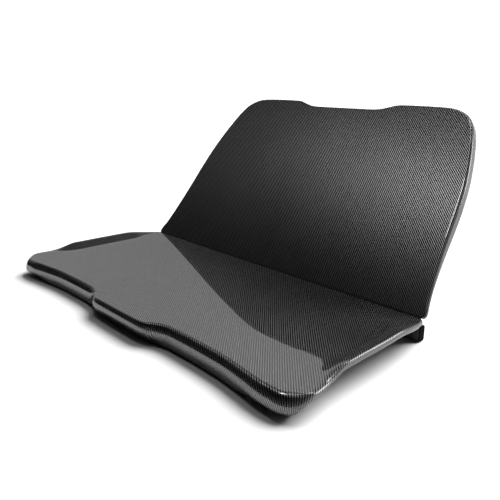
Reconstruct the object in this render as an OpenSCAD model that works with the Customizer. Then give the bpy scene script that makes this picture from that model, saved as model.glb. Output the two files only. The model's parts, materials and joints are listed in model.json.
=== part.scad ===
// Rear bench panel set: a laminate seat base, a laminate backrest that folds forward on two
// low hinges, and the black steel cross-member that carries both.
// The design frame has its origin at the middle of the crease between base and backrest.

/* [Bench] */
// Width of the crease between base and backrest
bench_w = 1250; // [1150:10:1350]
// Depth of the base from the crease to the front lip
base_d = 577; // [540:1:620]
// Height of the crease above the floor
crease_h = 62; // [60:1:70]
// Wall thickness of both laminate shells
shell_t = 3; // [2.5:0.5:4]
// Height of the raised rims at the sides of the base
rim_h = 17; // [10:1:20]

/* [Backrest] */
// Lean of the backrest behind the vertical, in degrees
recline = 37.5; // [30:0.5:40]
// Length of the backrest up its own face
back_len = 671; // [620:1:720]
// Depth of the recess in the middle of the top edge
recess_d = 23; // [10:1:30]
// Depth of the backrest's side flange at its widest
flange_d = 31; // [24:1:34]

/* [Cross-member] */
// Height of the steel box section
beam_h = 42; // [38:1:42]
// Depth of the steel box section
beam_d = 22; // [20:1:24]
// Wall thickness of the steel box section
beam_t = 2; // [1.5:0.5:3]
// Distance between the outermost floor bolts
floor_bolt_span = 900; // [800:10:1000]
// Radius of the floor bolt holes, for an M8 bolt
floor_hole_r = 4.5; // [4.2:0.1:5]

/* [Hinges and locks] */
// Distance of each hinge plate from the middle of the bench
hinge_x = 530; // [500:5:540]
// Radius of the hinge pin
pin_r = 5; // [4:0.5:6]
// Thickness of the hinge plates
plate_t = 5; // [4:0.5:6]
// Travel of the lock plungers
plunger_travel = 8; // [7:0.5:9]

/* [Hidden] */
$fn = 48;

half_w = bench_w / 2;
top_back = back_len * sin(recline) + flange_d * cos(recline);
crease_gap = 3;
crease_y = (base_d + crease_gap - top_back) / 2;
pad_t = 2;
beam_bottom = pad_t - crease_h;
beam_top = beam_bottom + beam_h;
beam_back = 1;
beam_front = beam_back - beam_d;
beam_half = half_w - 1;
hinge_y = 27;
hinge_z = 12;
eye_r = 10.5;
bush_r = pin_r + 1.5;
running_gap = 0.05;
lock_y = 60;
lock_z = hinge_z;
lock_r = 4;
lug_gap = 1.5;
lug_x = hinge_x + plate_t + lug_gap;
rib_h = 15;
rib_w = 50;
rib_flat = 22;
rib_t = 2;
carbon = [0.07, 0.07, 0.075];
black_steel = [0.03, 0.03, 0.03];
zinc = [0.62, 0.62, 0.64];
nylon = [0.85, 0.83, 0.76];
rubber = [0.04, 0.04, 0.04];

// ---- helpers ----
function smooth(a, b, x) = let (t = min(1, max(0, (x - a) / (b - a)))) t * t * (3 - 2 * t);
function mix(a, b, t) = a + (b - a) * t;

// A Catmull-Rom curve through the points of an outline, with n steps between neighbours.
function curve(p, n) = let (last = len(p) - 1) concat([
    for (i = [0 : last - 1])
        let (before = i == 0 ? 2 * p[0] - p[1] : p[i - 1],
             after = i == last - 1 ? 2 * p[last] - p[last - 1] : p[i + 2])
        for (j = [0 : n - 1]) let (t = j / n)
            0.5 * (2 * p[i] + (p[i + 1] - before) * t
                + (2 * before - 5 * p[i] + 4 * p[i + 1] - after) * t * t
                + (3 * p[i] - before - 3 * p[i + 1] + after) * t * t * t)], [p[last]]);

// A whole loop from its right half, which starts and ends on the middle line.
function mirrored_loop(half) = concat(half,
    [for (i = [len(half) - 2 : -1 : 1]) [-half[i].x, half[i].y]]);

function unit(v) = v / norm(v);

// The outward normal of a loop that runs clockwise or anticlockwise, chosen by turn = 1 or -1.
function loop_normal(loop, i, turn) = let (n = len(loop),
    d = unit(loop[(i + 1) % n] - loop[(i + n - 1) % n])) [-d.y, d.x] * turn;

// Points along an arc of n equal steps.
function arc(centre, r, from, to, n) = [for (i = [0 : n])
    let (a = mix(from, to, i / n)) centre + r * [cos(a), sin(a)]];

// The points of a profile moved inwards by the wall thickness; the first lies on the flat field.
function inner_profile(p, t) = concat([p[0] - [0, t]], [for (k = [1 : len(p) - 1])
    let (d = unit(p[min(k + 1, len(p) - 1)] - p[k - 1])) p[k] + [-d.y, d.x] * t]);

// One section of a shell: the outer profile down to the edge and the inner profile back.
function section(p, t) = let (inner = inner_profile(p, t))
    concat(p, [for (k = [len(p) - 1 : -1 : 0]) inner[k]]);

function mean(points) = [for (p = points) 1] * points / len(points);

// A closed shell from one section at each point of its loop. Its two flat fields are fans about
// their middle points, which come last.
module shell(sections) {
    n = len(sections);
    m = len(sections[0]);
    fields = [for (k = [0, m - 1]) mean([for (s = sections) s[k]])];
    points = concat([for (s = sections) for (p = s) p], fields);
    walls = [for (s = [0 : n - 1]) let (a = s * m, b = ((s + 1) % n) * m)
        for (k = [0 : m - 2])
            each [[a + k, b + k, b + k + 1], [a + k, b + k + 1, a + k + 1]]];
    outer_field = [for (s = [0 : n - 1]) [((s + 1) % n) * m, s * m, n * m]];
    inner_field = [for (s = [0 : n - 1]) [s * m + m - 1, ((s + 1) % n) * m + m - 1, n * m + 1]];
    polyhedron(points, concat(outer_field, inner_field, walls));
}

module place() translate([0, crease_y, crease_h]) children();
module on_back() place() rotate([-recline, 0, 0]) children();
// Side is 1 on the right and -1 on the left.
module sided(side) mirror([side < 0 ? 1 : 0, 0, 0]) children();

// ---- laminate seat base ----
base_half = concat([[0, 0], [200, 0], [400, 0]],
    curve([[half_w - 18, 0], [half_w - 8, -2], [half_w - 1, -9], [half_w + 3, -24],
        [half_w + 8, -45], [half_w + 18, -105], [half_w + 26, -210], [half_w + 30, -320],
        [half_w + 34, -390], [half_w + 42, 137 - base_d],
        each arc([half_w - 15, 75 - base_d], 66, 12, -98, 5),
        [half_w - 65, 11 - base_d], [half_w - 125, 20 - base_d], [420, 30 - base_d],
        [320, 34 - base_d], [230, 34 - base_d], [190, 31 - base_d], [160, 21 - base_d],
        [138, 8 - base_d], [105, 1 - base_d], [0, -base_d]], 2));
base_loop = mirrored_loop([for (p = base_half) p - [0, crease_gap]]);

// Profile values round the base: field inset, rim height, roll width, roll height, undercut of
// the lip, depth of the edge below the field and the power of the undercut. Side is where the rim
// stands, flank is the side ahead of it, corner is the nose, and middle is the tongue in front.
lip = -crease_h;
function rim_at(y) = rim_h * smooth(0, 150, -y) * (1 - smooth(360, 490, -y));
function side_values(y) = [mix(7, 58, smooth(10, 130, -y)), rim_at(y), 5, 7, 2,
    rim_at(y) - 17, 2];
corner_values = [40, 0, 25, 38, 40, lip, 1.7];
flank_values = [30, 0, 12, 8, 56, lip, 1];
front_values = [32, 0, 22, 30, 7, lip, 2];
middle_values = [18, 0, 14, 24, 20, lip, 1.3];
rear_values = [6, 0, 3.5, 3.5, 0, -12, 2];
function base_values(p) = let (side = 1 - smooth(360, 490, -p.y),
    front = -p.y > 500 ? smooth(half_w + 15, 470, abs(p.x)) : 0,
    middle = -p.y > 500 ? smooth(190, 120, abs(p.x)) : 0)
    -p.y < crease_gap + 0.01 && abs(p.x) < half_w - 17 ? rear_values
    : mix(mix(mix(flank_values, corner_values, smooth(500, 560, -p.y)),
        mix(front_values, middle_values, middle), front), side_values(p.y), side);

function base_profile(v) = concat(
    [for (i = [0 : 3]) let (t = i / 4) [mix(v[0], v[2], t), v[1] * smooth(0, 1, t)]],
    [for (i = [0 : 3]) let (a = i * 22.5) [v[2] * (1 - sin(a)), v[1] - v[3] * (1 - cos(a))]],
    [for (i = [0 : 2]) let (t = i / 2) [v[4] * pow(t, v[6]), mix(v[1] - v[3], v[5], t)]]);

module base_shell() color(carbon) place()
    shell([for (i = [0 : len(base_loop) - 1])
        let (o = base_loop[i], normal = loop_normal(base_loop, i, 1),
             profile = section(base_profile(base_values(o)), shell_t))
        [for (q = profile) [o.x - normal.x * q.x, o.y - normal.y * q.x, q.y]]]);

// ---- laminate backrest ----
back_half = concat([[0, 0], [200, 0], [400, 0]],
    curve([[half_w - 32, 0], each arc([half_w - 14, 10], 10, -90, 0, 2), [half_w - 5, 22],
        [half_w - 12, 50], [half_w - 21, 100], [half_w - 31, 177], [half_w - 38, 250],
        [half_w - 45, 333], [half_w - 56, 417], [half_w - 73, back_len - 181],
        [half_w - 85, back_len - 140], [half_w - 99, back_len - 98],
        [half_w - 117, back_len - 59], [half_w - 140, back_len - 31],
        [half_w - 175, back_len - 11], [half_w - 215, back_len - 3], [half_w - 275, back_len - 0.5],
        [290, back_len], [240, back_len - 0.5], [214, back_len - 3], [188, back_len - 11],
        [160, back_len - recess_d + 4], [130, back_len - recess_d + 0.5],
        [100, back_len - recess_d], [0, back_len - recess_d]], 2));
back_loop = mirrored_loop(back_half);
edge_r = 9;
function flange_at(v) = mix(9, flange_d, smooth(10, 330, v));
function edge_at(v) = mix(3.5, edge_r, smooth(0, 60, v));
function back_profile(v) = let (r = edge_at(v)) concat([[r + 2, 0]],
    [for (i = [0 : 4]) let (a = i * 22.5) [r * (1 - sin(a)), -r * (1 - cos(a))]],
    [for (i = [1 : 2]) [0, mix(-r, -flange_at(v), i / 2)]]);

module backrest_shell() color(carbon) on_back()
    shell([for (i = [0 : len(back_loop) - 1])
        let (o = back_loop[i], normal = loop_normal(back_loop, i, -1),
             profile = section(back_profile(o.y), shell_t))
        [for (q = profile) [o.x - normal.x * q.x, -q.y, o.y - normal.y * q.x]]]);

// ---- stiffening ribs ----
// A top-hat section, open side up, with its flanges at height 0.
module hat_section(h) polygon([[-rib_w / 2, 0], [-rib_w / 2, -rib_t], [-rib_flat / 2 - 6, -rib_t],
    [-rib_flat / 2, -h], [rib_flat / 2, -h], [rib_flat / 2 + 6, -rib_t], [rib_w / 2, -rib_t],
    [rib_w / 2, 0], [rib_flat / 2 + 5, 0], [rib_flat / 2 - 1, rib_t - h],
    [1 - rib_flat / 2, rib_t - h], [-rib_flat / 2 - 5, 0]]);

base_rib_start = 100;
base_rib_len = base_d - 190;
module base_rib(x) color(carbon) place()
    translate([x, -base_rib_start, -shell_t]) rotate([90, 0, 0])
        linear_extrude(base_rib_len) hat_section(rib_h);
module base_rib_left() base_rib(-380);
module base_rib_centre() base_rib(0);
module base_rib_right() base_rib(380);

back_rib_start = 90;
back_rib_len = back_len - 160;
module backrest_rib(x) color(carbon) on_back()
    translate([x, shell_t, back_rib_start]) linear_extrude(back_rib_len)
        mirror([0, 1]) hat_section(rib_h);
module backrest_rib_left() backrest_rib(-330);
module backrest_rib_centre() backrest_rib(0);
module backrest_rib_right() backrest_rib(330);

// ---- cross-member ----
module beam_section(grow) translate([beam_front - grow, beam_bottom - grow])
    square([beam_d + 2 * grow, beam_h + 2 * grow]);

module along_x(length) rotate([90, 0, 90]) translate([0, 0, -length / 2])
    linear_extrude(length) children();

floor_bolt_x = [-floor_bolt_span / 2, floor_bolt_span / 2];
bolt_r = 4;
bolt_hole_r = bolt_r + 0.3;
stand_bolt_x = [-12, 12];
stand_bolt_inset = 32;
stand_foot_w = 54;
stand_bolt_z = -38;
bracket_x = [-520, -190, 190, 520];
bracket_bolt_z = -30;

module rear_crossmember() color(black_steel) place() difference() {
    along_x(2 * beam_half - 6) beam_section(0);
    along_x(2 * beam_half) beam_section(-beam_t);
    for (x = floor_bolt_x) translate([x, beam_front + beam_d / 2, beam_bottom - 1])
        cylinder(h = beam_h + 2, r = floor_hole_r);
    for (side = [-1, 1], dx = stand_bolt_x)
        translate([side * (hinge_x - stand_bolt_inset) + dx, beam_back + 1, stand_bolt_z])
            rotate([90, 0, 0]) cylinder(h = beam_t + 2, r = bolt_hole_r);
    for (x = bracket_x) translate([x, beam_front + beam_t + 1, bracket_bolt_z])
        rotate([90, 0, 0]) cylinder(h = beam_t + 2, r = bolt_hole_r);
}

// A rounded cap that covers the end of the box section, with a plug inside it.
cap_t = 3;
cap_r = 4;
module rounded_rect(w, h, r) {
    translate([r, 0]) square([w - 2 * r, h]);
    translate([0, r]) square([w, h - 2 * r]);
    for (x = [r, w - r], y = [r, h - r]) translate([x, y]) circle(r);
}
module crossmember_cap(side) color(black_steel) place() sided(side) {
    translate([beam_half - cap_t, 0, 0]) rotate([90, 0, 90]) linear_extrude(cap_t)
        translate([beam_front, beam_bottom]) rounded_rect(beam_d, beam_h, cap_r);
    translate([beam_half - cap_t - 16, 0, 0]) rotate([90, 0, 90]) linear_extrude(16)
        beam_section(-beam_t);
}
module crossmember_cap_left() crossmember_cap(-1);
module crossmember_cap_right() crossmember_cap(1);

module crossmember_pads() color(rubber) place() for (x = [-580, -300, 0, 300, 580])
    translate([x - 20, beam_front + 1, -crease_h]) cube([40, beam_d - 2, pad_t]);

// A rubber strip bonded to the base's rear edge, which fills the crease.
seal_w = 2.4;
seal_top = 1.5;
seal_low = -10;
seal_half = half_w - 13;
module crease_seal() color(rubber) place() translate([-seal_half, -crease_gap, seal_low])
    cube([2 * seal_half, seal_w, seal_top - seal_low]);

// ---- base mounting brackets ----
bracket_w = 40;
bracket_t = 3;
module base_mount_brackets() color(black_steel) place() for (x = bracket_x) difference() {
    union() {
        translate([x - bracket_w / 2, -85, -shell_t - bracket_t])
            cube([bracket_w, 85 + beam_front, bracket_t]);
        translate([x - bracket_w / 2, beam_front - bracket_t, bracket_bolt_z - 15])
            cube([bracket_w, bracket_t, 15 - shell_t - bracket_t - bracket_bolt_z]);
    }
    translate([x, beam_front + 1, bracket_bolt_z]) rotate([90, 0, 0])
        cylinder(h = bracket_t + 2, r = bolt_hole_r);
}

// A flanged bolt along -Y with its head's seat at the origin and a nut behind the wall.
module flange_bolt(grip) rotate([-90, 0, 0]) {
    cylinder(h = grip + 6, r = bolt_r);
    translate([0, 0, -1.5]) cylinder(h = 1.5, r = 8.5);
    translate([0, 0, -6.5]) cylinder(h = 5, r = 7, $fn = 6);
    translate([0, 0, grip]) cylinder(h = 5, r = 7, $fn = 6);
}
module bracket_bolts() color(zinc) place() for (x = bracket_x)
    translate([x, beam_front - bracket_t, bracket_bolt_z]) flange_bolt(bracket_t + beam_t);

// ---- fixed hinge stands ----
hook_back = 72;
hook_front = 54;
hook_top = 26;
hook_low = -21;
lightening_r = 12;
// The side outline of a stand: a foot on the floor, a hook behind the backrest, and an eye.
module stand_outline() difference() {
    union() {
        polygon([[beam_back, -crease_h], [beam_back, hook_low], [hook_front - 6, hook_low],
            [hook_front, hook_low + 6], [hook_front, hinge_z - 8], [hinge_y, hinge_z - 8],
            [hinge_y, hinge_z + 8], [hook_front - 6, hinge_z + 8], [hook_front, hook_top],
            [hook_back - 6, hook_top], [hook_back, hook_top - 6], [hook_back, -crease_h]]);
        translate([hinge_y, hinge_z]) circle(eye_r);
    }
    translate([hinge_y, hinge_z]) circle(bush_r);
    translate([lock_y, lock_z]) circle(lock_r + 0.5);
    translate([(beam_back + hook_back) / 2, (hook_low - crease_h) / 2]) circle(lightening_r);
}
module hinge_stand(side) color(black_steel) place() sided(side) {
    translate([hinge_x, 0, 0]) rotate([90, 0, 90]) linear_extrude(plate_t) stand_outline();
    difference() {
        translate([hinge_x - stand_foot_w, beam_back, beam_bottom])
            cube([stand_foot_w, plate_t, hook_low - beam_bottom]);
        for (dx = stand_bolt_x)
            translate([hinge_x - stand_bolt_inset + dx, beam_back + plate_t + 1, stand_bolt_z])
                rotate([90, 0, 0]) cylinder(h = plate_t + 2, r = bolt_hole_r);
    }
}
module hinge_stand_left() hinge_stand(-1);
module hinge_stand_right() hinge_stand(1);

module stand_bolts() color(zinc) place() for (side = [-1, 1], dx = stand_bolt_x)
    translate([side * (hinge_x - stand_bolt_inset) + dx, beam_back + plate_t, stand_bolt_z])
        rotate([0, 0, 180]) flange_bolt(plate_t + beam_t);

module ring(h, outer, inner) difference() {
    cylinder(h = h, r = outer);
    translate([0, 0, -1]) cylinder(h = h + 2, r = inner);
}
module at_hinge(x) place() translate([x, hinge_y, hinge_z]) rotate([0, 90, 0]) children();

// A flanged bush, pressed into the stand's eye.
bush_flange_t = 1.2;
module hinge_bush(side) color(nylon) sided(side) at_hinge(0) difference() {
    union() {
        translate([0, 0, hinge_x - bush_flange_t]) cylinder(h = bush_flange_t, r = eye_r - 1);
        translate([0, 0, hinge_x]) cylinder(h = plate_t + bush_flange_t, r = bush_r);
    }
    translate([0, 0, hinge_x - 2]) cylinder(h = plate_t + 4, r = pin_r + running_gap);
}
module hinge_bush_left() hinge_bush(-1);
module hinge_bush_right() hinge_bush(1);

// ---- moving hinge lugs on the backrest ----
lug_len = 120;
lug_foot_w = 50;
lug_foot_t = 3;
rivet_inset = 30;
rivet_r = 3;
// The side outline of a lug in the backrest's own frame: w is depth behind the face, v is up it.
lug_w = hinge_y * cos(recline) - hinge_z * sin(recline);
lug_v = hinge_y * sin(recline) + hinge_z * cos(recline);
lock_w = lock_y * cos(recline) - lock_z * sin(recline);
lock_v = lock_y * sin(recline) + lock_z * cos(recline);
rivet_v = [lug_v + 36, lug_len - 16];
module lug_outline() difference() {
    union() {
        polygon([[shell_t, lug_v], [shell_t, lug_len], [14, lug_len], [lock_w - 8, lock_v + 9],
            [lock_w + 6, lock_v + 6], [lock_w + 7, lock_v - 6], [lock_w - 4, lock_v - 9],
            [lug_w + 4, lug_v - 8], [lug_w - 4, lug_v - 7]]);
        translate([lug_w, lug_v]) circle(7.4);
    }
    translate([lug_w, lug_v]) circle(pin_r + running_gap);
    translate([lock_w, lock_v]) circle(lock_r + running_gap);
}
module hinge_lug(side) color(black_steel) on_back() sided(side) {
    translate([lug_x, 0, 0]) rotate([90, 0, 90]) linear_extrude(plate_t) lug_outline();
    difference() {
        translate([lug_x - lug_foot_w, shell_t, lug_v + 20])
            cube([lug_foot_w, lug_foot_t, lug_len - lug_v - 20]);
        for (v = rivet_v) translate([lug_x - rivet_inset, shell_t - 1, v])
            rotate([-90, 0, 0]) cylinder(h = lug_foot_t + 2, r = rivet_r);
    }
}
module hinge_lug_left() hinge_lug(-1);
module hinge_lug_right() hinge_lug(1);

// Blind rivets that hold the lugs to inserts bonded behind the skin.
module lug_rivets() color(zinc) on_back() for (side = [-1, 1], v = rivet_v)
    translate([side * (lug_x - rivet_inset), shell_t, v]) rotate([-90, 0, 0]) {
        cylinder(h = lug_foot_t, r = rivet_r);
        translate([0, 0, lug_foot_t]) cylinder(h = 1.5, r = 2 * rivet_r);
    }

// A headed pin, inboard head, with a groove for its clip outboard.
pin_head_t = 4;
pin_end = plate_t + lug_gap + plate_t + 5;
module hinge_pin(side) color(zinc) sided(side) at_hinge(0) difference() {
    union() {
        translate([0, 0, hinge_x - bush_flange_t - pin_head_t])
            cylinder(h = pin_head_t, r = pin_r + 4);
        translate([0, 0, hinge_x - bush_flange_t]) cylinder(h = pin_end + bush_flange_t, r = pin_r);
    }
    translate([0, 0, lug_x + plate_t + 0.3]) ring(1.2, pin_r + 1, pin_r - 1);
}
module hinge_pin_left() hinge_pin(-1);
module hinge_pin_right() hinge_pin(1);

module hinge_pin_clips() color(zinc) for (side = [-1, 1])
    sided(side) at_hinge(0) translate([0, 0, lug_x + plate_t + 0.4]) ring(1, pin_r + 3.5, pin_r - 1);

// ---- sprung lock plungers ----
housing_len = 30;
housing_r = 9;
bore_r = 7;
module at_lock(side) place() sided(side) translate([hinge_x, lock_y, lock_z])
    rotate([0, -90, 0]) children();
// Along the plunger's own axis, 0 is the stand's inner face and inboard is positive. The plungers
// are drawn parked: pulled in by their whole travel, so that the backrest is free to fold.
bore_end = housing_len - 4;
module plunger_housing(side) color(zinc) at_lock(side) difference() {
    cylinder(h = housing_len, r = housing_r);
    translate([0, 0, -1]) cylinder(h = bore_end + 1, r = bore_r);
    cylinder(h = housing_len + 1, r = lock_r + running_gap);
}
module plunger_housing_left() plunger_housing(-1);
module plunger_housing_right() plunger_housing(1);

pin_tip = plate_t - 0.5;
collar_t = 3;
collar_z = 1 + plunger_travel;
knob_z = housing_len + 0.5 + plunger_travel;
knob_bore = 11.5;
module plunger_pin(side) color(zinc) at_lock(side) {
    translate([0, 0, -pin_tip]) cylinder(h = pin_tip + knob_z + knob_bore, r = lock_r);
    translate([0, 0, collar_z]) cylinder(h = collar_t, r = bore_r - 0.3);
}
module plunger_pin_left() plunger_pin(-1);
module plunger_pin_right() plunger_pin(1);

spring_turns = 6;
spring_wire_r = 0.7;
spring_r = bore_r - 1.4;
spring_end_gap = spring_wire_r + 0.2;
spring_len = bore_end - collar_z - collar_t - 2 * spring_end_gap;
steps_per_turn = 14;
wire_sides = 6;
// A coil spring as one tube of round wire swept along a helix.
module coil() {
    rings = spring_turns * steps_per_turn;
    points = [for (i = [0 : rings]) let (a = i * 360 / steps_per_turn, z = spring_len * i / rings)
        for (k = [0 : wire_sides - 1]) let (b = k * 360 / wire_sides,
            r = spring_r + spring_wire_r * cos(b))
            [r * cos(a), r * sin(a), z + spring_wire_r * sin(b)]];
    walls = [for (i = [0 : rings - 1], k = [0 : wire_sides - 1])
        let (a = i * wire_sides, b = a + wire_sides, next = (k + 1) % wire_sides)
        each [[a + k, a + next, b + next], [a + k, b + next, b + k]]];
    first = [for (k = [wire_sides - 1 : -1 : 0]) k];
    last = [for (k = [0 : wire_sides - 1]) rings * wire_sides + k];
    polyhedron(points, concat([first, last], walls));
}
module plunger_spring(side) color(zinc) at_lock(side)
    translate([0, 0, collar_z + collar_t + spring_end_gap]) coil();
module plunger_spring_left() plunger_spring(-1);
module plunger_spring_right() plunger_spring(1);

module plunger_knob(side) color(black_steel) at_lock(side) translate([0, 0, knob_z])
    rotate_extrude() polygon([[lock_r, 0], [8, 0], [10, 3], [10, 9], [13, 12], [13, 19], [11, 22],
        [0, 22], [0, knob_bore], [lock_r, knob_bore]]);
module plunger_knob_left() plunger_knob(-1);
module plunger_knob_right() plunger_knob(1);

base_shell();
backrest_shell();
base_rib_left();
base_rib_centre();
base_rib_right();
backrest_rib_left();
backrest_rib_centre();
backrest_rib_right();
rear_crossmember();
crossmember_cap_left();
crossmember_cap_right();
crossmember_pads();
crease_seal();
base_mount_brackets();
bracket_bolts();
hinge_stand_left();
hinge_stand_right();
stand_bolts();
hinge_bush_left();
hinge_bush_right();
hinge_lug_left();
hinge_lug_right();
lug_rivets();
hinge_pin_left();
hinge_pin_right();
hinge_pin_clips();
plunger_housing_left();
plunger_housing_right();
plunger_pin_left();
plunger_pin_right();
plunger_spring_left();
plunger_spring_right();
plunger_knob_left();
plunger_knob_right();
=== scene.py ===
# Visual model of the rear bench: smooth carbon-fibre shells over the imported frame, procedural
# materials for every piece, and a plain bright studio.
import json
import math

import bmesh
import bpy
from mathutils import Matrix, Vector
from mathutils.geometry import delaunay_2d_cdt
from mathutils.kdtree import KDTree


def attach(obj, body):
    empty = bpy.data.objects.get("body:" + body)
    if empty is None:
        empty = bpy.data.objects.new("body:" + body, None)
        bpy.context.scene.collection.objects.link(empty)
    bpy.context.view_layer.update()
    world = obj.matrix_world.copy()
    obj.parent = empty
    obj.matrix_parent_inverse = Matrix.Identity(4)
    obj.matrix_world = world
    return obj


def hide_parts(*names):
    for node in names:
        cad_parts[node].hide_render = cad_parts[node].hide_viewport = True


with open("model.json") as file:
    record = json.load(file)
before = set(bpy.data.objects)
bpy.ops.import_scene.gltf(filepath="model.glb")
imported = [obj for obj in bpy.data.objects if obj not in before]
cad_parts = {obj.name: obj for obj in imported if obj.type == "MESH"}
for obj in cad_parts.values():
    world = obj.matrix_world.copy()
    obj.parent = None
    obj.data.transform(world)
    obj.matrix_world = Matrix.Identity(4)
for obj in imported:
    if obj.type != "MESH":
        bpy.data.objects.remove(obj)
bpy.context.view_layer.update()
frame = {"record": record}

# ---- places read from the frame ----
record = frame["record"]
joints = {j["name"]: j for j in record["behaviour"]["joints"]}
PIVOT = Vector(joints["backrest_fold"]["pos_m"])
MM = 0.001
HINGE_BACK, HINGE_UP = 27 * MM, 12 * MM      # the hinge's place behind and above the crease
CREASE = Vector((0, PIVOT.y - HINGE_BACK, PIVOT.z - HINGE_UP))

RECLINE = math.radians(37.5)
HALF_W = 0.625
BASE_D = 0.577
BACK_LEN = 0.671
RECESS_D = 0.023
FLANGE_D = 0.031
SHELL_T = 0.003
RIM_H = 0.017
GAP = 0.003
LIP = -CREASE.z


def smooth(a, b, x):
    t = min(1.0, max(0.0, (x - a) / (b - a)))
    return t * t * (3 - 2 * t)


def mix(a, b, t):
    return [x + (y - x) * t for x, y in zip(a, b)] if isinstance(a, (list, tuple)) else a + (b - a) * t


def curve(points, steps):
    """A Catmull-Rom curve through given points, steps segments between neighbours."""
    pts = [Vector(p) for p in points]
    pts = [2 * pts[0] - pts[1]] + pts + [2 * pts[-1] - pts[-2]]
    out = []
    for p0, p1, p2, p3 in zip(pts, pts[1:], pts[2:], pts[3:]):
        for j in range(steps):
            t = j / steps
            out.append(0.5 * (2 * p1 + (p2 - p0) * t + (2 * p0 - 5 * p1 + 4 * p2 - p3) * t * t
                              + (3 * p1 - p0 - 3 * p2 + p3) * t ** 3))
    return out + [pts[-2]]


def arc(centre, r, start, end, steps):
    """Points along an arc, angles in degrees."""
    angles = [math.radians(mix(start, end, i / steps)) for i in range(steps + 1)]
    return [Vector(centre) + r * Vector((math.cos(a), math.sin(a))) for a in angles]


def mirrored_loop(half):
    return half + [Vector((-p.x, p.y)) for p in half[-2:0:-1]]


def loop_normals(loop, turn):
    n = len(loop)
    out = []
    for i in range(n):
        d = (loop[(i + 1) % n] - loop[i - 1]).normalized()
        out.append(Vector((-d.y, d.x)) * turn)
    return out


# ---- mesh building ----
FIELD_CELL = 0.03      # size of the flat fields' cells


def fill_field(bm, cloth, edge, plan, level, place):
    """Fills the flat field inside a closed edge with a grid of cells, all facing the same way."""
    lo = [min(p[i] for p in plan) for i in (0, 1)]
    hi = [max(p[i] for p in plan) for i in (0, 1)]
    nx, ny = (int((hi[i] - lo[i]) / FIELD_CELL) + 1 for i in (0, 1))
    grid = [Vector((mix(lo[0], hi[0], i / nx), mix(lo[1], hi[1], j / ny)))
            for i in range(1, nx) for j in range(1, ny)]
    tree = KDTree(len(plan))
    for i, p in enumerate(plan):
        tree.insert((p.x, p.y, 0), i)
    tree.balance()
    grid = [q for q in grid if tree.find((q.x, q.y, 0))[2] > FIELD_CELL * 0.3]
    n = len(plan)
    points, _, faces, origin, _, _ = delaunay_2d_cdt(
        plan + grid, [(i, (i + 1) % n) for i in range(n)], [], 1, 1e-7)
    verts = []
    for p, source in zip(points, origin):
        if source and source[0] < n:
            verts.append(edge[source[0]])
        else:
            v = bm.verts.new(place(p, level))
            v[cloth] = (p.x, p.y, 0)
            verts.append(v)
    for f in faces:
        bm.faces.new([verts[i] for i in f])


def shell_mesh(name, loop, normals, profiles, thickness, place):
    """A closed laminate shell. Each profile is a list of (inset, height) from the flat field out
    over the edge. place maps (plan point, height) to the frame. Fabric coordinates follow the
    cloth: flat in the field, then by arc length over the edge."""
    bm = bmesh.new()
    cloth = bm.verts.layers.float_vector.new("cloth")
    outer, inner = [], []
    for o, nrm, prof in zip(loop, normals, profiles):
        ring_out, ring_in = [], []
        start = o - nrm * prof[0][0]
        run = 0.0
        for k, (inset, height) in enumerate(prof):
            if k:
                run += math.hypot(inset - prof[k - 1][0], height - prof[k - 1][1])
            a, b = prof[k - 1], prof[min(k + 1, len(prof) - 1)]
            d = Vector((b[0] - a[0], b[1] - a[1])).normalized() if k else Vector((-1, 0))
            draped = (*(start + nrm * run), 0)
            v = bm.verts.new(place(o - nrm * inset, height))
            v[cloth] = draped
            ring_out.append(v)
            w = bm.verts.new(place(o - nrm * (inset - d.y * thickness), height + d.x * thickness))
            w[cloth] = draped
            ring_in.append(w)
        outer.append(ring_out)
        inner.append(ring_in)
    n = len(loop)
    for i in range(n):
        j = (i + 1) % n
        for k in range(len(outer[0]) - 1):
            bm.faces.new((outer[i][k], outer[i][k + 1], outer[j][k + 1], outer[j][k]))
            bm.faces.new((inner[i][k], inner[j][k], inner[j][k + 1], inner[i][k + 1]))
        bm.faces.new((outer[i][-1], inner[i][-1], inner[j][-1], outer[j][-1]))
    plan = [o - nrm * prof[0][0] for o, nrm, prof in zip(loop, normals, profiles)]
    for rings, level in ((outer, 0.0), (inner, -thickness)):
        fill_field(bm, cloth, [r[0] for r in rings], plan, level, place)
    bmesh.ops.recalc_face_normals(bm, faces=bm.faces)
    weave = bm.loops.layers.uv.new("weave")
    for f in bm.faces:
        for corner in f.loops:
            corner[weave].uv = corner.vert[cloth].xy
    bm.verts.layers.float_vector.remove(cloth)
    mesh = bpy.data.meshes.new(name)
    bm.to_mesh(mesh)
    bm.free()
    for p in mesh.polygons:
        p.use_smooth = True
    obj = bpy.data.objects.new(name, mesh)
    bpy.context.collection.objects.link(obj)
    return obj


# ---- laminate seat base ----
W, D = HALF_W, -BASE_D
base_half = [Vector((x * MM, 0)) for x in range(0, 600, 40)] + curve([
    (W - .018, 0), (W - .008, -.002), (W - .001, -.009), (W + .003, -.024), (W + .008, -.045),
    (W + .018, -.105), (W + .026, -.210), (W + .030, -.320), (W + .034, -.390), (W + .042, D + .137),
    *arc((W - .015, D + .075), .066, 12, -98, 5), (W - .065, D + .011), (W - .125, D + .020),
    (.420, D + .030), (.320, D + .034), (.230, D + .034),
    (.190, D + .031), (.160, D + .021), (.138, D + .008), (.105, D + .001), (0, D)], 9)
base_loop = mirrored_loop([p - Vector((0, GAP)) for p in base_half])


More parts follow.
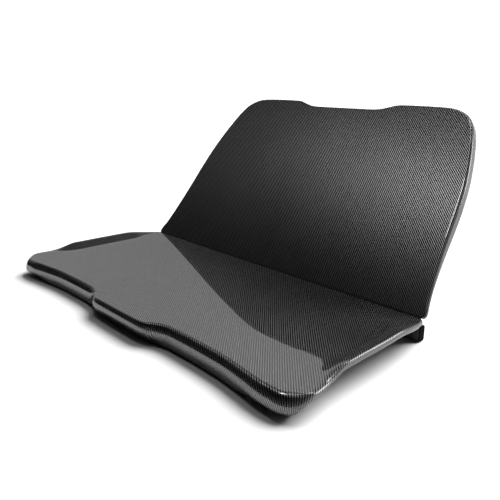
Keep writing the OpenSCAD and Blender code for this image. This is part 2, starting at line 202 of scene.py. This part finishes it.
def base_values(p):
    """Field inset, rim height, roll width, roll height, undercut, edge depth, undercut power."""
    y, x = -p.y, abs(p.x)
    side = 1 - smooth(.360, .490, y)
    rim = RIM_H * smooth(0, .150, y) * side
    side_v = [mix(.007, .058, smooth(.010, .130, y)), rim, .005, .007, .002, rim - .017, 2]
    if y < GAP + 1e-5 and x < W - .017:
        return [.006, 0, .0035, .0035, 0, -.012, 2]
    front = smooth(W + .015, .470, x) if y > .5 else 0
    middle = smooth(.190, .120, x) if y > .5 else 0
    flank_v = [.030, 0, .012, .008, .056, LIP, 1]
    corner_v = mix(flank_v, [.040, 0, .025, .038, .040, LIP, 1.7], smooth(.500, .560, y))
    front_v = [.032, 0, .022, .030, .007, LIP, 2]
    middle_v = [.018, 0, .014, .024, .020, LIP, 1.3]
    return mix(mix(corner_v, mix(front_v, middle_v, middle), front), side_v, side)


def base_profile(v):
    a, h, rw, rh, under, deep, power = v
    prof = [(mix(a, rw, i / 12), h * smooth(0, 1, i / 12)) for i in range(12)]
    prof += [(rw * (1 - math.sin(t)), h - rh * (1 - math.cos(t)))
             for t in (i * math.pi / 24 for i in range(12))]
    prof += [(under * (i / 10) ** power, mix(h - rh, deep, i / 10)) for i in range(11)]
    return prof


base = shell_mesh("seat_base", base_loop, loop_normals(base_loop, 1),
                  [base_profile(base_values(p)) for p in base_loop], SHELL_T,
                  lambda p, h: CREASE + Vector((p.x, p.y, h)))
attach(base, "base")
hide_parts("base_shell")

# ---- laminate backrest ----
UP = Vector((0, math.sin(RECLINE), math.cos(RECLINE)))
BEHIND = Vector((0, math.cos(RECLINE), -math.sin(RECLINE)))
L = BACK_LEN
back_half = [Vector((x * MM, 0)) for x in range(0, 600, 40)] + curve([
    (W - .032, 0), *arc((W - .014, .010), .010, -90, 0, 2), (W - .005, .022), (W - .012, .050),
    (W - .021, .100), (W - .031, .177), (W - .038, .250), (W - .045, .333), (W - .056, .417),
    (W - .073, L - .181), (W - .085, L - .140), (W - .099, L - .098), (W - .117, L - .059),
    (W - .140, L - .031), (W - .175, L - .011), (W - .215, L - .003), (W - .275, L - .0005),
    (.290, L), (.240, L - .0005), (.214, L - .003), (.188, L - .011), (.160, L - RECESS_D + .004),
    (.130, L - RECESS_D + .0005), (.100, L - RECESS_D), (0, L - RECESS_D)], 9)
back_loop = mirrored_loop(back_half)


def back_profile(v):
    r = mix(.0035, .009, smooth(0, .060, v))
    deep = mix(.009, FLANGE_D, smooth(.010, .330, v))
    prof = [(r + .002, 0)]
    prof += [(r * (1 - math.sin(t)), -r * (1 - math.cos(t)))
             for t in (i * math.pi / 24 for i in range(13))]
    prof += [(0, mix(-r, -deep, i / 6)) for i in range(1, 7)]
    return prof


back = shell_mesh("backrest", back_loop, loop_normals(back_loop, -1),
                  [back_profile(p.y) for p in back_loop], SHELL_T,
                  lambda p, h: CREASE + Vector((p.x, 0, 0)) + UP * p.y - BEHIND * h)
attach(back, "backrest")
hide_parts("backrest_shell")


# ---- materials ----
class Graph:
    """A short way to build shader nodes."""

    def __init__(self, owner):
        owner.use_nodes = True
        self.tree = owner.node_tree
        self.tree.nodes.clear()

    def link(self, a, b):
        self.tree.links.new(a, b)

    def node(self, kind, **values):
        n = self.tree.nodes.new(kind)
        for key, value in values.items():
            setattr(n, key, value)
        return n

    def math(self, op, a, b=0.0):
        n = self.node("ShaderNodeMath", operation=op)
        for socket, value in zip(n.inputs, (a, b)):
            if isinstance(value, (int, float)):
                socket.default_value = value
            else:
                self.link(value, socket)
        return n.outputs[0]

    def pick(self, factor, a, b):
        """a where factor is 1 and b where it is 0."""
        return self.math("ADD", self.math("MULTIPLY", factor, a),
                         self.math("MULTIPLY", self.math("SUBTRACT", 1.0, factor), b))

    def grey(self, value):
        n = self.node("ShaderNodeCombineColor")
        for socket in n.inputs[:3]:
            self.link(value, socket)
        return n.outputs[0]

    def ramp(self, factor, stops):
        n = self.node("ShaderNodeValToRGB")
        while len(n.color_ramp.elements) < len(stops):
            n.color_ramp.elements.new(0.5)
        for e, (at, level) in zip(n.color_ramp.elements, stops):
            e.position = at
            e.color = (level, level, level, 1)
        self.link(factor, n.inputs[0])
        return n.outputs[0]

    def noise(self, vector, scale, detail):
        n = self.node("ShaderNodeTexNoise")
        n.inputs["Scale"].default_value = scale
        n.inputs["Detail"].default_value = detail
        self.link(vector, n.inputs["Vector"])
        return n.outputs["Fac"]


class Finish(Graph):
    """A material with one Principled shader."""

    def __init__(self, name):
        self.mat = bpy.data.materials.new(name)
        super().__init__(self.mat)
        self.bsdf = self.node("ShaderNodeBsdfPrincipled")
        self.link(self.bsdf.outputs[0], self.node("ShaderNodeOutputMaterial").inputs[0])

    def set(self, **values):
        for key, value in values.items():
            self.bsdf.inputs[key.replace("_", " ")].default_value = value


TOW = 0.002            # width of one tow of 3K carbon; the 2x2 twill repeats every four
# Warp tows painted bright and weft tows painted near black: a painted highlight and painted shade on
# one and the same fibre
WARP_LIT_TONE, WEFT_SHADED_TONE = 0.22, 0.003
TOW_ROUGH = 0.36


def twill(g):
    """The 2x2 twill. Returns the cloth vector, 1 where a warp tow is on top and 0 where a weft tow
    is, and the place across and along the top tow."""
    cloth = g.node("ShaderNodeUVMap", uv_map="weave").outputs[0]
    sep = g.node("ShaderNodeSeparateXYZ")
    g.link(cloth, sep.inputs[0])
    u, v = (g.math("DIVIDE", sep.outputs[i], TOW) for i in (0, 1))
    diagonal = g.math("FLOORED_MODULO", g.math("ADD", g.math("FLOOR", u), g.math("FLOOR", v)), 4)
    warp = g.math("LESS_THAN", diagonal, 1.5)
    fu = g.math("SUBTRACT", g.math("FRACT", u), 0.5)
    fv = g.math("SUBTRACT", g.math("FRACT", v), 0.5)
    across = g.pick(warp, fu, fv)
    along = g.pick(warp, g.math("ADD", fv, g.math("SUBTRACT", diagonal, 0.5)),
                   g.math("ADD", fu, g.math("SUBTRACT", diagonal, 2.5)))
    return cloth, warp, across, along


def carbon(name):
    """Carbon twill under a clear coat. Each tow shines across its own direction; on top of that, warp
    tows are painted bright and weft tows painted near black, as lit and shaded copies of one fibre,
    and each tow is painted darker towards its edges and ends.
    """
    g = Finish(name)
    cloth, warp, across, along = twill(g)
    # Tow height: it drives the bump, and below it also darkens the tone towards each tow's edges and
    # ends, a painted shade between tows
    edge = g.math("POWER", g.math("ABSOLUTE", g.math("MULTIPLY", across, 2.0)), 4.0)
    crown = g.math("SUBTRACT", 1.0, edge)
    arch = g.math("SUBTRACT", 1.0, g.math("MULTIPLY", g.math("MULTIPLY", along, along), 0.7))
    height = g.math("MULTIPLY", crown, arch)
    patch = g.noise(cloth, 3.0, 3.0)
    fibre = g.noise(cloth, 900.0, 1.0)
    # Painted light: warp tows bright and weft tows near black as lit and shaded copies of one fibre;
    # the patch and fibre noise below are random tone of the cloth
    tone_and_painted_light = g.math("MULTIPLY", g.pick(warp, WARP_LIT_TONE, WEFT_SHADED_TONE),
                  g.math("ADD", 0.25, g.math("MULTIPLY", height, 0.75)))
    tone_and_painted_light = g.math("MULTIPLY", tone_and_painted_light, g.math("ADD", 0.88, g.math("MULTIPLY", patch, 0.24)))
    tone_and_painted_light = g.math("MULTIPLY", tone_and_painted_light, g.math("ADD", 0.8, g.math("MULTIPLY", fibre, 0.4)))
    g.link(g.grey(tone_and_painted_light), g.bsdf.inputs["Base Color"])
    g.link(g.math("ADD", TOW_ROUGH, g.math("MULTIPLY", patch, 0.08)), g.bsdf.inputs["Roughness"])
    tangent = g.node("ShaderNodeTangent", direction_type="UV_MAP", uv_map="weave")
    g.link(tangent.outputs[0], g.bsdf.inputs["Tangent"])
    g.link(g.pick(warp, 0.0, 0.25), g.bsdf.inputs["Anisotropic Rotation"])
    bump = g.node("ShaderNodeBump")
    bump.inputs["Strength"].default_value = 0.4
    bump.inputs["Distance"].default_value = 0.0002
    g.link(height, bump.inputs["Height"])
    g.link(bump.outputs[0], g.bsdf.inputs["Normal"])
    g.set(Metallic=1.0, Anisotropic=0.8, Specular_Tint=(0.05, 0.05, 0.05, 1))
    g.set(Coat_Weight=1.0, Coat_Roughness=0.02, Coat_IOR=1.5)
    return g.mat


def plain(name, colour, rough, metallic=0.0, bump_scale=800.0, bump=0.15, wear=0.0, gloss=0.5):
    """A finish with fine grain, patchy gloss and, with wear, paler edges."""
    g = Finish(name)
    geo = g.node("ShaderNodeTexCoord").outputs["Object"]
    patch = g.noise(geo, 12.0, 4.0)
    grain = g.noise(geo, bump_scale, 2.0)
    mixer = g.node("ShaderNodeMix", data_type="RGBA")
    mixer.inputs["A"].default_value = (*[c * 0.8 for c in colour], 1)
    mixer.inputs["B"].default_value = (*[min(1, c * 1.25) for c in colour], 1)
    g.link(patch, mixer.inputs["Factor"])
    result = mixer.outputs["Result"]
    if wear:
        point = g.node("ShaderNodeNewGeometry").outputs["Pointiness"]
        edge = g.ramp(point, [(0.52, 0), (0.6, wear)])
        worn = g.node("ShaderNodeMix", data_type="RGBA")
        g.link(edge, worn.inputs["Factor"])
        g.link(result, worn.inputs["A"])
        worn.inputs["B"].default_value = (*[min(1, c + 0.25) for c in colour], 1)
        result = worn.outputs["Result"]
    g.link(result, g.bsdf.inputs["Base Color"])
    g.link(g.math("ADD", rough - 0.06, g.math("MULTIPLY", patch, 0.12)), g.bsdf.inputs["Roughness"])
    relief = g.node("ShaderNodeBump")
    relief.inputs["Strength"].default_value = bump
    relief.inputs["Distance"].default_value = 0.0002
    g.link(grain, relief.inputs["Height"])
    g.link(relief.outputs[0], g.bsdf.inputs["Normal"])
    g.set(Metallic=metallic, Specular_IOR_Level=gloss)
    return g.mat


glossy_carbon = carbon("carbon_clearcoat")
MATERIALS = {
    "carbon_clearcoat": glossy_carbon,
    "carbon_bare": plain("carbon_bare", (0.03, 0.03, 0.032), 0.5, bump_scale=1500, bump=0.4),
    "black_paint": plain("black_paint", (0.005, 0.005, 0.005), 0.7, wear=0.2, gloss=0.08),
    "black_plastic": plain("black_plastic", (0.003, 0.003, 0.003), 0.8, bump=0.3, gloss=0.04),
    "zinc": plain("zinc", (0.55, 0.56, 0.58), 0.32, metallic=1.0, bump_scale=2500),
    "nylon": plain("nylon", (0.75, 0.72, 0.62), 0.45),
    "rubber": plain("rubber", (0.01, 0.01, 0.01), 0.8, bump=0.4, gloss=0.2),
}
for piece in (base, back):
    piece.data.materials.append(glossy_carbon)
slots = {s["node"]: s["material_slot"] for s in record["subparts"]}
for node, slot_name in slots.items():
    obj = bpy.data.objects.get(node)
    if obj is None:
        continue
    for s in obj.material_slots:
        s.material = MATERIALS[slot_name]

# ---- studio ----
FLOOR_SIZE = 14.0
bm = bmesh.new()
bmesh.ops.create_grid(bm, x_segments=2, y_segments=2, size=FLOOR_SIZE)
floor_mesh = bpy.data.meshes.new("floor")
bm.to_mesh(floor_mesh)
bm.free()
floor = bpy.data.objects.new("floor", floor_mesh)
floor.location.z = -0.0005
bpy.context.collection.objects.link(floor)
floor_paint = bpy.data.materials.new("floor_paint")
floor_paint.use_nodes = True
floor_bsdf = floor_paint.node_tree.nodes["Principled BSDF"]
floor_bsdf.inputs["Base Color"].default_value = (0.28, 0.28, 0.28, 1.0)
floor_bsdf.inputs["Roughness"].default_value = 0.9
floor_bsdf.inputs["Specular IOR Level"].default_value = 0.0
floor_mesh.materials.append(floor_paint)

# The backdrop is a bright low band behind the bench and dark above; in front it is dimmer.
BAND = [(0.0, 1.25), (0.04, 1.2), (0.13, 0.54), (0.20, 0.62), (0.38, 1.1), (0.44, 1.05), (0.55, 0.4),
        (0.68, 0.1), (1.0, 0.08)]
BAND_TILT = -0.15
FRONT_DIM = [(0.3, 0.05), (0.6, 1.0)]
world = bpy.data.worlds.new("studio")
bpy.context.scene.world = world
sky = Graph(world)
view = sky.node("ShaderNodeSeparateXYZ")
sky.link(sky.node("ShaderNodeTexCoord").outputs["Generated"], view.inputs[0])
height = sky.math("ADD", view.outputs[2], sky.math("MULTIPLY", view.outputs[1], BAND_TILT))
behind = sky.math("ADD", 0.5, sky.math("MULTIPLY", view.outputs[1], 0.5))
glow = sky.math("MULTIPLY", sky.ramp(height, BAND), sky.ramp(behind, FRONT_DIM))
backdrop = sky.node("ShaderNodeBackground")
sky.link(glow, backdrop.inputs["Color"])
sky.link(backdrop.outputs[0], sky.node("ShaderNodeOutputWorld").inputs[0])


def area(name, at, aim, size, power):
    light = bpy.data.lights.new(name, "AREA")
    light.shape = "RECTANGLE"
    light.size, light.size_y = size
    light.energy = power
    obj = bpy.data.objects.new(name, light)
    obj.location = at
    obj.rotation_euler = (Vector(aim) - Vector(at)).to_track_quat("-Z", "Y").to_euler()
    bpy.context.collection.objects.link(obj)


# A soft dome for the floor alone, which keeps it white round the bench's contact shadow.
dome_light = bpy.data.lights.new("floor_dome", "SUN")
dome_light.energy = 21.0
dome_light.angle = math.radians(58)
dome = bpy.data.objects.new("floor_dome", dome_light)
dome.rotation_euler = (math.radians(-46), math.radians(4), 0)
bpy.context.collection.objects.link(dome)
only_floor = bpy.data.collections.new("lit_by_floor_dome")
only_floor.objects.link(floor)
dome.light_linking.receiver_collection = only_floor

area("front_box", (0.03, -0.56, 1.87), (0.0, 0.35, 0.45), (0.4, 0.4), 12)
area("side_strip", (1.75, 1.7, 1.0), (0.64, -0.43, 0.06), (0.7, 1.2), 20)
area("back_strip", (0.4, 1.02, 1.95), (0.64, -0.43, 0.06), (1.25, 0.25), 7)
area("over_strip", (0.36, 0.15, 1.5), (0.05, -0.65, 0.06), (0.07, 1.0), 3.5)

# ---- camera, at the fitted viewpoint ----
CAM_AZ, CAM_EL = math.radians(47.317), math.radians(16.768)
CAM_FROM_CREASE = Vector((1.3738, -1.3293, 0.6314))
camera_data = bpy.data.cameras.new("camera")
camera_data.sensor_width = 36.0
camera_data.lens = 588.0 / 500.0 * 36.0
camera = bpy.data.objects.new("camera", camera_data)
camera.location = CREASE + CAM_FROM_CREASE
back_dir = Vector((math.sin(CAM_AZ) * math.cos(CAM_EL), -math.cos(CAM_AZ) * math.cos(CAM_EL),
                   math.sin(CAM_EL)))
camera.rotation_euler = (-back_dir).to_track_quat("-Z", "Y").to_euler()
bpy.context.collection.objects.link(camera)
bpy.context.scene.camera = camera
bpy.context.scene.view_settings.view_transform = "Standard"
